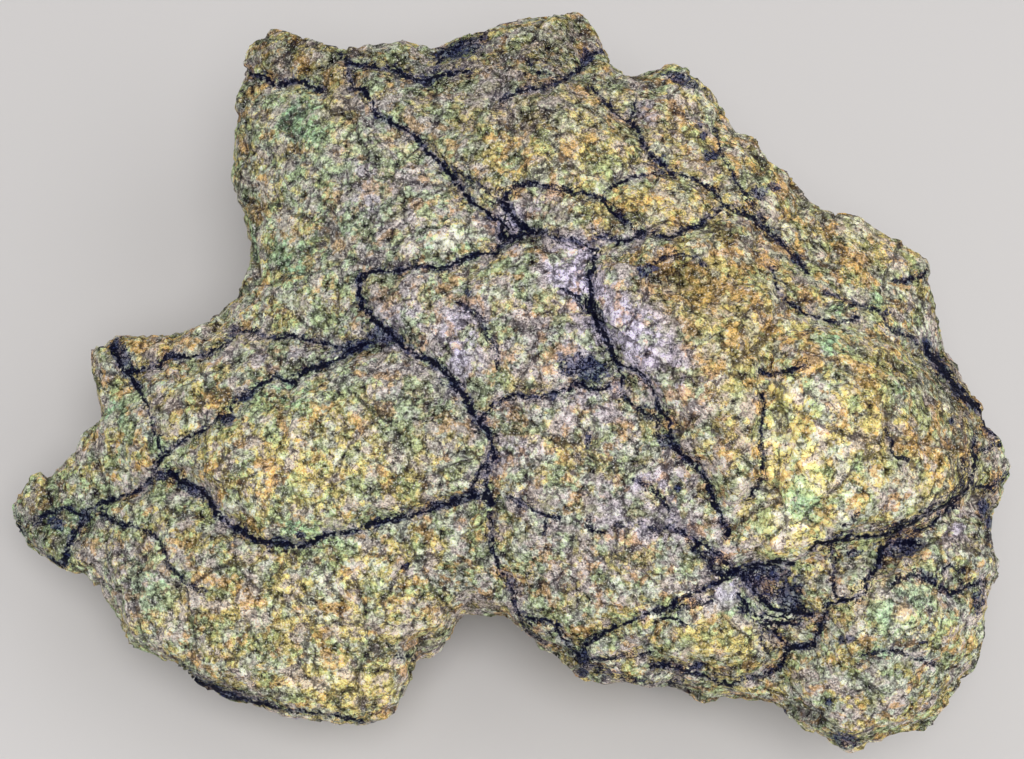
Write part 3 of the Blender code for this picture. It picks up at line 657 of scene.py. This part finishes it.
def crystals(points, breadth, seed):
    """Splits space into crystals about breadth millimetres wide. For each point: where its
    crystal's tilted face lies and how high the crystal stands, both about -1 to 1, and how much
    farther its second nearest crystal is than its nearest, in breadths: 0 in a crease."""
    place = points / (breadth * MM)
    corner = np.floor(place)
    first = np.full(len(points), np.inf)
    second = first.copy()
    tilt, level = np.zeros(len(points)), np.zeros(len(points))
    for step in np.ndindex(3, 3, 3):
        cell = corner + step - 1
        away = place - cell - random_in_cell(cell, seed)
        gap = np.sqrt((away * away).sum(1))
        closer = gap < first
        second = np.where(closer, first, np.minimum(second, gap))
        first = np.where(closer, gap, first)
        random = random_in_cell(cell[closer], seed + TILT_SEED) * 2 - 1
        tilt[closer] = (away[closer] * random).sum(1)
        level[closer] = random[:, 0]
    return tilt, level, second - first


def vein_segments():
    """The start and end of each straight run of the veins, and its half width, in pixels."""
    rows = []
    for width, line in VEINS.values():
        for start, end in zip(line, line[1:]):
            rows.append((*start, *end, width / 2))
    return np.array(rows, float)


AT_ONCE = 4096  # pixels set against the veins in one go, to spare memory


def nearest_vein(pixels):
    """For each pixel: the offset from the nearest vein's middle line, and that vein's half width."""
    rows = vein_segments()
    starts, along, half = rows[:, :2], rows[:, 2:4] - rows[:, :2], rows[:, 4]
    square = (along * along).sum(1)
    offsets = np.empty((len(pixels), 2))
    widths = np.empty(len(pixels))
    for first in range(0, len(pixels), AT_ONCE):
        some = pixels[first : first + AT_ONCE]
        from_start = some[:, None, :] - starts[None]
        share = np.clip((from_start * along).sum(2) / square, 0, 1)
        gap = from_start - share[:, :, None] * along
        nearest = (np.hypot(gap[:, :, 0], gap[:, :, 1]) - half).argmin(1)
        picked = np.arange(len(some))
        offsets[first : first + AT_ONCE] = gap[picked, nearest]
        widths[first : first + AT_ONCE] = half[nearest]
    return offsets, widths


def patch_at(pixels, x, y, half_width, half_height, turn):
    """1 in the middle of a patch, falling off smoothly around it."""
    angle = math.radians(turn)
    right, down = pixels[:, 0] - x, pixels[:, 1] - y
    along = (right * math.cos(angle) + down * math.sin(angle)) / half_width
    across = (down * math.cos(angle) - right * math.sin(angle)) / half_height
    return np.exp(-(along**2 + across**2))


def pool_depth(pixels):
    """Over 0.37 inside a pool, 1 in its middle."""
    return np.max([patch_at(pixels, *pool) for pool in POOLS.values()], axis=0)


def hidden_vein_distance(points):
    """A distance in pixels, signed, from veins that run over the sides the picture doesn't show."""
    nets = []
    for seed, breadth in HIDDEN_NETS:
        nets.append(waves(points, breadth, seed) * breadth * MM / PIXEL / 2)
    nets = np.array(nets)
    return nets[np.abs(nets).argmin(0), np.arange(len(points))]


def facing_eye(points, normals):
    """1 where the surface faces the eye, 0 where it turns away."""
    towards = np.array(EYE) - points
    towards /= np.linalg.norm(towards, axis=1)[:, None]
    return smooth((towards * normals).sum(1), *SEEN_FROM)


def new_piece():
    """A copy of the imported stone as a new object, at the same place."""
    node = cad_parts["meteorite_stone"]
    piece = bpy.data.objects.new("meteorite_surface", node.data.copy())
    bpy.context.scene.collection.objects.link(piece)
    return piece


def even_out(piece):
    """Turns the solid's flat triangles into an even, fine and rounded surface."""
    joined = piece.modifiers.new("joined", "WELD")
    joined.merge_threshold = JOIN_WITHIN
    rounded = piece.modifiers.new("rounded", "SUBSURF")
    rounded.levels = 2
    rounded.render_levels = 2
    even = piece.modifiers.new("even", "REMESH")
    even.mode = "VOXEL"
    even.voxel_size = VOXEL
    return applied(piece, "meteorite_surface")


def shaken(points):
    """The points moved a little, so that what is split by them has ragged edges."""
    moved = np.zeros((len(points), 3))
    for turn, (breadth, height) in enumerate(SHAKES):
        seeds = range(3 * turn + 1, 3 * turn + 4)
        moved += height * np.stack([waves(points, breadth, seed) for seed in seeds], 1)
    return points + moved * MM


def crystal_layers(points):
    """For each layer in CRYSTALS: its numbers, and the points' tilts, levels and gaps in it."""
    moved = shaken(points)
    for number, layer in enumerate(CRYSTALS.values()):
        yield layer, crystals(moved, layer[0], number * LAYER_SEEDS)


def stand_on_table(mesh, points):
    """Puts the mesh's points at the places given, none of them below the table."""
    points[:, 2] = np.maximum(points[:, 2], 0)
    mesh.vertices.foreach_set("co", points.astype(np.float32).ravel())
    mesh.update()


def roughen(mesh):
    """Moves every point along its normal: crystals and lumps all over, grooves along the veins."""
    points, normals = mesh_points(mesh), mesh_normals(mesh)
    breadth, height, seed = SWELLS
    total = height * waves(points, breadth, seed)
    for (_, tilted, raised, crease), (tilt, level, gap) in crystal_layers(points):
        sunk = crease * np.exp(-((gap / CREASE_SPREAD) ** 2))
        total += tilted * 2 * tilt + raised * level - sunk
    pixels = seen_pixels(points)
    seen = facing_eye(points, normals)
    offsets, widths = nearest_vein(pixels)
    shown = np.hypot(offsets[:, 0], offsets[:, 1])
    away = shown * seen + np.abs(hidden_vein_distance(points)) * (1 - seen)
    widths = widths * seen + HIDDEN_GROOVE * (1 - seen)
    total -= np.exp(-((away / (widths + 1)) ** 2)) * (GROOVE_LEAST + GROOVE_MORE * widths)
    total -= np.exp(-((away / TROUGH_HALF_WIDTH) ** 2)) * TROUGH_MORE * widths
    total -= seen * POOL_HOLLOW * np.clip(pool_depth(pixels), 0, 1)
    stand_on_table(mesh, points + normals * total[:, None] * MM)
    return seen


def thin_out(piece, seen):
    """Drops faces until few enough are left, more of them on the sides that the eye can't see."""
    group = piece.vertex_groups.new(name="held")
    for step in range(HOLD_STEPS + 1):
        chosen = np.flatnonzero(np.round(seen * HOLD_STEPS) == step)
        group.add(chosen.tolist(), 1 - step / HOLD_STEPS / 2, "REPLACE")
    fewer = piece.modifiers.new("fewer", "DECIMATE")
    fewer.ratio = MOST_FACES / (2 * len(piece.data.polygons))
    fewer.use_collapse_triangulate = True
    fewer.vertex_group = "held"
    fewer.vertex_group_factor = SEEN_HOLDS
    mesh = applied(piece, "meteorite_surface")
    stand_on_table(mesh, mesh_points(mesh))
    return mesh


# How often the surface is averaged for: what faces the eye, the ground that a point is set against,
# near and wide, and which part of the map a face goes to
EYE_SOFTNESS = 12
NEAR_GROUND = 4
WIDE_GROUND = 40
MAP_SOFTNESS = 30


def softened(mesh, values, rounds):
    """Values of a mesh's points, each averaged with its neighbours' that many times."""
    ends = np.empty(len(mesh.edges) * 2, np.int32)
    mesh.edges.foreach_get("vertices", ends)
    ends = ends.reshape(-1, 2)
    one, other = np.r_[ends[:, 0], ends[:, 1]], np.r_[ends[:, 1], ends[:, 0]]
    count = np.bincount(one, minlength=len(values))
    for _ in range(rounds):
        sums = [np.bincount(one, column[other], len(values)) for column in values.T]
        values = 0.5 * values + 0.5 * (np.array(sums) / count).T
    return values


def relief(mesh, rounds):
    """How far each point stands out of the ground around it, in millimetres, below 0 in a hollow."""
    points, normals = mesh_points(mesh), mesh_normals(mesh)
    return ((points - softened(mesh, points, rounds)) * normals).sum(1) / MM


def write_attribute(mesh, name, columns):
    layer = mesh.attributes.new(name, "FLOAT_COLOR", "POINT")
    layer.data.foreach_set("color", np.column_stack(columns).astype(np.float32).ravel())


def write_fields(mesh):
    """Gives the points what the material reads: veins, tints, patches of painted light and shade, and
    how far they stand out, which the material also turns into painted light and shade.
    """
    points, normals = mesh_points(mesh), mesh_normals(mesh)
    pixels = seen_pixels(points)
    seen = facing_eye(points, softened(mesh, normals, EYE_SOFTNESS))
    offsets, widths = nearest_vein(pixels)
    distance = np.hypot(offsets[:, 0], offsets[:, 1])
    write_attribute(mesh, "vein", [offsets[:, 0], offsets[:, 1], distance, widths])
    tints = []
    for number, patches in enumerate(TINTS.values()):
        shown = np.zeros(len(points))
        for *patch, strength in patches:
            shown = np.maximum(shown, strength * patch_at(pixels, *patch))
        drift = smooth(waves(points, DRIFT_BREADTH, DRIFT_SEED + number), *DRIFT_EDGES)
        tints.append(seen * shown + (1 - seen) * drift * DRIFT_STRENGTH)
    write_attribute(mesh, "tint", tints)
    # painted light and shade, summed from the patches
    light = np.zeros(len(points))
    for patches in PAINTED_LIGHT_AND_SHADE.values():
        for *patch, share in patches:
            light += share * patch_at(pixels, *patch)
    hidden = hidden_vein_distance(points)
    write_attribute(mesh, "shade", [light * seen, pool_depth(pixels) * seen, seen, hidden])
    gaps = [gap * layer[0] * MM / PIXEL / 2 for layer, (_, _, gap) in crystal_layers(points)]
    # how far each point stands out, near and wide: the material paints the rises lighter and the
    # hollows darker with it
    stands = [relief(mesh, rounds) for rounds in (NEAR_GROUND, WIDE_GROUND)]
    write_attribute(mesh, "relief", [*stands, gaps[0], gaps[1]])


# The surface's own map, in parts: the way that a part faces, which way is right on the map there,
# where the part's corner lies on the map, and how much of the map one metre of it takes
EYE_RIGHT = Vector((1, 0, 0))
MAP_PARTS = [
    (EYE_BACK, EYE_RIGHT, (0.005, 0.385), 7.1),
    (-EYE_BACK, EYE_RIGHT, (0.005, 0.005), 3.3),
    (EYE_UP, EYE_RIGHT, (0.4, 0.005), 3.3),
    (-EYE_UP, EYE_RIGHT, (0.4, 0.195), 3.3),
    (EYE_RIGHT, EYE_BACK, (0.79, 0.005), 3.3),
    (-EYE_RIGHT, EYE_BACK, (0.81, 0.385), 3.3),
]
EYE_PREFERRED = 1.4  # how much more readily a face goes to the part that the eye sees


def unfold(mesh):
    """Lays the surface out on a map, seen straight on from six sides."""
    points = mesh_points(mesh)
    normals = softened(mesh, mesh_normals(mesh), MAP_SOFTNESS)
    corners = np.empty(len(mesh.loops), np.int32)
    mesh.loops.foreach_get("vertex_index", corners)
    faces = corners.reshape(-1, 3)
    facing = normals[faces].mean(1) @ np.array([part[0] for part in MAP_PARTS]).T
    facing[:, 0] *= EYE_PREFERRED
    chosen = np.repeat(facing.argmax(1), 3)
    places = np.empty((len(corners), 2))
    for number, (way, right, corner, size) in enumerate(MAP_PARTS):
        here = chosen == number
        across = points[corners[here]] @ np.array([right, way.cross(right)]).T
        places[here] = np.array(corner) + (across - across.min(0)) * size
    layer = mesh.uv_layers.new(name="OFBake")
    layer.data.foreach_set("uv", places.astype(np.float32).ravel())


def build_surface():
    piece = new_piece()
    mesh = even_out(piece)
    seen = roughen(mesh)
    mesh = thin_out(piece, seen)
    write_fields(mesh)
    unfold(mesh)
    mesh.materials.clear()
    mesh.materials.append(stone_material())
    mesh.shade_smooth()
    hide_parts("meteorite_stone")
    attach(piece, "root")
    return piece


# How many swells of each noise, and how many grains, there are in a millimetre
HUES_PER_MM = 0.42
WIGGLES_PER_MM = 1.3
GRAINS_PER_MM = 1.5
GRIT_PER_MM = 4.0

CREAM = tone(226, 229, 202)
GREY_BEIGE = tone(181, 185, 170)
YELLOW = tone(216, 194, 112)
OLIVE = tone(158, 160, 104)
RUST = tone(208, 160, 98)
OCHRE = tone(206, 166, 88)
OLIVE_GREEN = tone(176, 194, 142)
MINT = tone(160, 200, 156)
LILAC = tone(206, 196, 222)
PINK = tone(206, 190, 186)
# the painted highlight of the glints
PAINTED_GLINT_WHITE = tone(246, 244, 240)
# the dark of the specks, and of the lines in the creases, which are partly painted shade
VIOLET = tone(42, 32, 48)
NAVY = tone(5, 6, 34)
BLUE_GREY = tone(76, 88, 138)

# How far noise shifts a vein, in pixels from one side to the other, on the side that the picture
# shows and on the others, and how much nearer to a point that may bring it
WANDER = 14
HIDDEN_WANDER = 8
MOST_NEARER = 4

BUMP_HEIGHT = 0.0004
STONE_SPECULAR = 0.08


def read_ground(shader):
    """What the stone's colours are worked out from: noise, grains and what its points carry."""
    on = SimpleNamespace()
    where = shader.out(shader.node("ShaderNodeTexCoord"), "Object")
    place = shader.scaled(where, 1 / MM)
    hues = shader.noise(place, HUES_PER_MM, 3.0, 0.62, "Color")
    wiggles = shader.noise(place, WIGGLES_PER_MM, 3.0, 0.7, "Color")
    on.hue_a, on.hue_b, on.hue_c = shader.split(hues)
    on.wiggle_x, on.wiggle_y, on.ragged = shader.split(wiggles)
    on.grit = shader.noise(place, GRIT_PER_MM, 2.0, 0.85)
    grains = shader.node("ShaderNodeTexVoronoi", None, {"Vector": place, "Scale": GRAINS_PER_MM})
    on.from_middle = shader.out(grains, "Distance")
    on.grain_a, on.grain_b, on.grain_c = shader.split(shader.out(grains, "Color"))
    on.yellow, on.rust, on.green, on.lilac = shader.attribute("tint")
    # light: the patches of painted light and shade
    on.light, on.pool, on.seen, on.hidden = shader.attribute("shade")
    on.vein_x, on.vein_y, on.vein_plain, on.vein_half = shader.attribute("vein")
    # stands and broadly: the relief, which the material turns into painted light on rises and painted
    # shade in hollows
    on.stands, on.broadly, on.block_edge, on.lump_edge = shader.attribute("relief")
    return on


def crystal_colour(shader, on):
    """Grains of grey and cream, with others gathered among them, more of each in its own patches."""
    step = shader.step
    kind_a = on.hue_a + 0.12 * (on.grain_a - 0.5)
    kind_b = on.hue_b + 0.12 * (on.grain_b - 0.5)
    kind_c = on.hue_c + 0.12 * (on.grain_c - 0.5)
    greener = shader.mix(step(on.green, 0.2, 0.6), OLIVE_GREEN, MINT)
    bluer = shader.mix(step(on.lilac, 0.2, 0.6), PINK, LILAC)
    colour = shader.mix(step(on.grain_a + on.grain_c, 0.5, 1.5), GREY_BEIGE, CREAM)
    colour = shader.mix(0.85 * step(kind_a + 0.14 * on.yellow, 0.47, 0.57), colour, YELLOW)
    colour = shader.mix(0.8 * step(kind_b + 0.15 * on.green, 0.53, 0.62), colour, greener)
    colour = shader.mix(0.85 * step(kind_b - 0.2 * on.lilac, 0.49, 0.38), colour, bluer)
    colour = shader.mix(0.75 * step(kind_c + 0.12 * on.rust, 0.55, 0.65), colour, RUST)
    colour = shader.mix(0.6 * step(kind_c, 0.44, 0.32), colour, OLIVE)
    colour = shader.mix(0.4 * on.yellow, colour, YELLOW)
    colour = shader.mix(0.4 * on.green, colour, MINT)
    colour = shader.mix(0.5 * on.lilac, colour, LILAC)
    return shader.mix(0.45 * on.rust, colour, OCHRE)


def grained(shader, on, colour):
    """The colour made lighter and darker by grit, by painted shade towards each grain's edge, by the
    patches of painted light and shade, and by painted light on the relief's rises and painted shade in
    its hollows.
    """
    # painted shade towards each grain's edge, stronger in some patches
    grain_edge_shade_strength = 0.4 + 0.6 * shader.step(on.hue_b + 0.5 * on.wiggle_x, 0.6, 0.9)
    grain_edge_shade = on.from_middle * on.from_middle * grain_edge_shade_strength
    # on.light brings in the patches of painted light and shade
    bright = 1.185 + 2.1 * (on.grit - 0.5) + 0.3 * (on.grain_b - 0.5) - grain_edge_shade + 0.8 * on.light
    # painted light on the rises and painted shade in the hollows of the relief
    bright = bright + 0.4 * on.stands + 0.1 * on.broadly
    bright = shader.math("POWER", shader.math("MAXIMUM", bright, 0.05), SCREEN_POWER)
    return shader.mix(1.0, colour, shader.grey(bright), "MULTIPLY")


def cracked(shader, on, colour):
    """Broken dark lines in the creases, partly cracks and partly painted shade, hairline threads
    between them, and dark specks of grit.
    """
    step = shader.step
    # dark lines in the crystals' creases: partly cracks, partly painted shade in the creases
    block_crease_shade = step(on.block_edge, 2.2, 0.8) * step(on.ragged, 0.4, 0.5)
    lump_crease_shade = step(on.lump_edge, 1.6, 0.5) * step(on.wiggle_y, 0.45, 0.55)
    thread = step(abs(on.hue_c - 0.5), 0.02, 0.008) * step(on.wiggle_x, 0.5, 0.56)
    # the crease lines here are partly painted shade, the threads are cracks
    lines = shader.largest(block_crease_shade, lump_crease_shade, thread)
    specks = step(on.grit + 0.1 * on.stands - 0.1 * (on.from_middle - 0.5), 0.35, 0.31)
    return shader.mix(shader.largest(0.75 * lines, 0.85 * specks), colour, VIOLET)


def vein_darkness(shader, on):
    """How dark the veins and pools are: their blue-grey halo, the band beside them, and the core."""
    step = shader.step
    shift_x = WANDER * (on.wiggle_x - 0.5)
    shift_y = WANDER * (on.wiggle_y - 0.5)
    away = shader.length(on.vein_x + shift_x, on.vein_y + shift_y)
    away = shader.math("MAXIMUM", away, on.vein_plain - MOST_NEARER)
    back = abs(on.hidden + HIDDEN_WANDER * (on.wiggle_x - 0.5))
    away = away * on.seen + back * (1 - on.seen)
    half = on.vein_half * on.seen + HIDDEN_STAIN * (1 - on.seen)
    swell = 1.8 * on.ragged + 1.5 * (on.hue_b - 0.5) - 0.32
    core = step(away - half * swell + 2 * (on.grit - 0.5), 0.7, -0.2)
    strand = abs(away - half * (1.3 + 7 * (on.hue_a - 0.5)) + 4 * (on.grit - 0.5))
    strand = step(strand, 0.9, 0.4) * step(on.hue_c, 0.44, 0.5)
    band = step(away - half * (0.8 + 3 * (on.wiggle_y - 0.5)), 1.6, -0.8)
    halo = step(away - half + 40 * (on.hue_b - 0.5), 8.0, 0.0)
    blot = step(on.pool + 1.6 * (on.ragged - 0.5) + 0.6 * (on.grit - 0.5), 0.36, 0.46)
    tangle = step(abs(on.wiggle_y - 0.5), 0.06, 0.03)
    return halo, shader.largest(0.5 * band, 0.6 * blot), shader.largest(core, strand, blot * tangle)


def stone_material():
    """Coarse pale crystals with dark veins and painted white glints, rough all over, and glossier on
    the glints and veins.
    """
    shader = Shader("crystalline_stone")
    on = read_ground(shader)
    colour = cracked(shader, on, grained(shader, on, crystal_colour(shader, on)))
    # painted glints: white specks painted on as highlights
    glint = shader.step(on.grit, 0.61, 0.645)
    colour = shader.mix(0.85 * glint, colour, PAINTED_GLINT_WHITE)
    halo, band, core = vein_darkness(shader, on)
    colour = shader.mix(0.08 * halo, colour, BLUE_GREY)
    colour = shader.mix(band, colour, BLUE_GREY)
    colour = shader.mix(0.97 * core, colour, NAVY)
    # painted glints on the veins, in blue-grey
    colour = shader.mix(0.5 * core * glint, colour, BLUE_GREY)
    height = 1.2 * on.grit - 0.7 * (on.from_middle * on.from_middle)
    bump = {"Height": height, "Strength": 1.0, "Distance": BUMP_HEIGHT}
    shader.feed(shader.surface.inputs["Base Color"], colour)
    shader.feed(shader.surface.inputs["Roughness"], 0.85 - 0.2 * core - 0.25 * glint)
    shader.feed(shader.surface.inputs["Normal"], shader.out(shader.node("ShaderNodeBump", None, bump)))
    shader.feed(shader.surface.inputs["Specular IOR Level"], STONE_SPECULAR)
    return shader.material


FLOOR_SIZE = 6.0
FLOOR_TONE = tone(203, 200, 199)


def build_floor():
    bpy.ops.mesh.primitive_plane_add(size=FLOOR_SIZE)
    floor = bpy.context.object
    floor.name = "floor"
    shader = Shader("pale_floor")
    shader.surface.inputs["Base Color"].default_value = FLOOR_TONE
    shader.surface.inputs["Roughness"].default_value = 0.9
    shader.surface.inputs["Specular IOR Level"].default_value = 0.1
    floor.data.materials.append(shader.material)


# Soft lights: the way each comes from (0 is the viewer's side, 90 is +X), its elevation, the
# distance and breadth in metres, and its power in watts
LIGHTS = {
    "key": (10, 70, 0.9, 0.5, 5.0),
    "fill": (75, 45, 1.0, 0.9, 2.6),
    "back": (200, 50, 1.1, 0.9, 1.0),
}
SKY = 0.4


def build_lights():
    for name, (turn, elevation, distance, breadth, power) in LIGHTS.items():
        light = bpy.data.lights.new(name, "AREA")
        light.shape = "DISK"
        light.size = breadth
        light.energy = power
        lamp = bpy.data.objects.new(name, light)
        turn, elevation = math.radians(turn), math.radians(elevation)
        way = Vector((
            math.sin(turn) * math.cos(elevation),
            -math.cos(turn) * math.cos(elevation),
            math.sin(elevation),
        ))
        lamp.location = AIM + distance * way
        lamp.rotation_euler = way.to_track_quat("Z", "Y").to_euler()
        bpy.context.scene.collection.objects.link(lamp)
    world = bpy.data.worlds.new("sky")
    world.use_nodes = True
    background = world.node_tree.nodes["Background"]
    background.inputs["Color"].default_value = (1, 1, 1, 1)
    background.inputs["Strength"].default_value = SKY
    bpy.context.scene.world = world


def build_camera():
    """A camera at the eye. PICTURE_SIZE[0] pixels of the picture span its sensor's width."""
    camera = bpy.data.cameras.new("camera")
    camera.sensor_width = 36
    camera.lens = camera.sensor_width * EYE_DISTANCE / (PICTURE_SIZE[0] * PIXEL)
    camera.clip_start = 0.005
    eye = bpy.data.objects.new("camera", camera)
    eye.location = EYE
    eye.rotation_euler = EYE_BACK.to_track_quat("Z", "Y").to_euler()
    bpy.context.scene.collection.objects.link(eye)
    bpy.context.scene.camera = eye


build_camera()
build_lights()
build_floor()
build_surface()
bpy.context.scene.view_settings.view_transform = "Standard"
